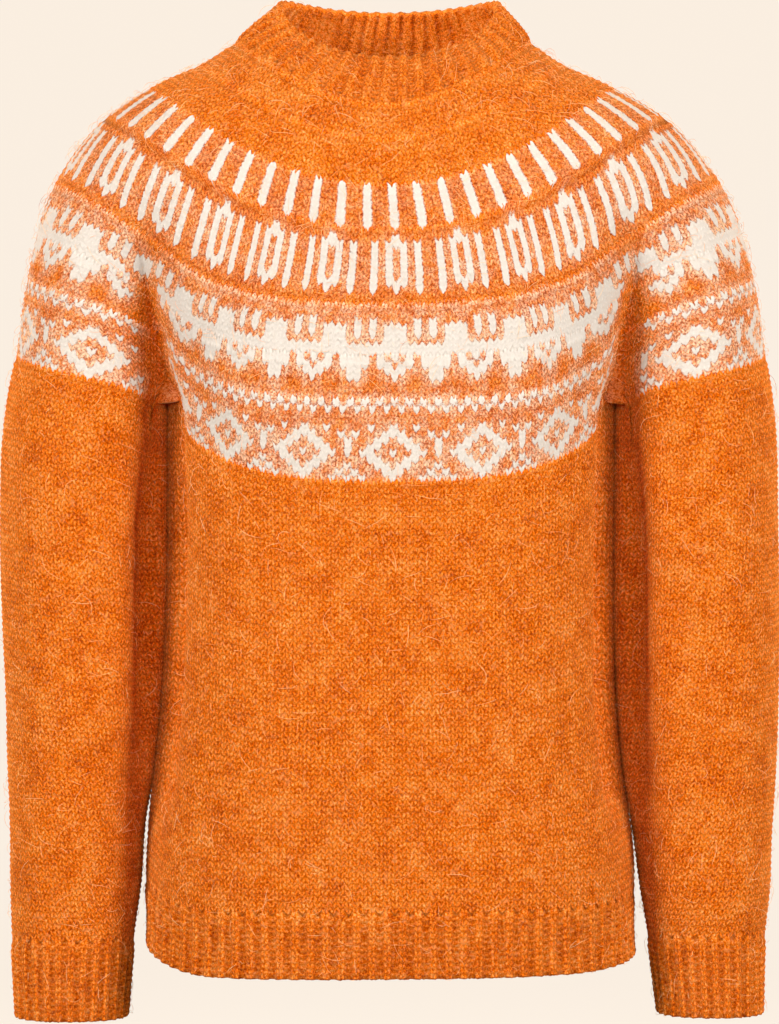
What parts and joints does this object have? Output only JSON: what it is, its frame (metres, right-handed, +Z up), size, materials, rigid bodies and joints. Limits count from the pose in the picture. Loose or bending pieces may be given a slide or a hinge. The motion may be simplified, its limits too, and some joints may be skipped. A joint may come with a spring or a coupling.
{
  "type": "patterned round-yoke pullover with mock neck, named color block sweater",
  "caption": "Hollow knitted pullover with a round patterned yoke, ribbed mock neck, long sleeves and ribbed hem and cuffs.",
  "frame": {"origin": "middle of the neck, level with the front of the collar's rim, where the wearer's neck and shoulders hold it", "axes": "+Z up, +X to the viewer's right as seen from the front, +Y to the back"},
  "size_m": [0.5889, 0.246, 0.7687],
  "materials": {
    "main_yarn": "brushed wool, matt and fuzzy",
    "patterned_yarn": "brushed wool in two colours, matt and fuzzy",
    "rib_yarn": "ribbed wool, matt"
  },
  "bodies": {
    "root": {"yoke": "patterned_yarn", "collar": "rib_yarn", "body_front": "main_yarn", "body_back": "main_yarn", "hem_rib_front": "rib_yarn", "hem_rib_back": "rib_yarn", "sleeve_left": "main_yarn", "sleeve_right": "main_yarn", "cuff_left": "rib_yarn", "cuff_right": "rib_yarn"}
  },
  "joints": []
}
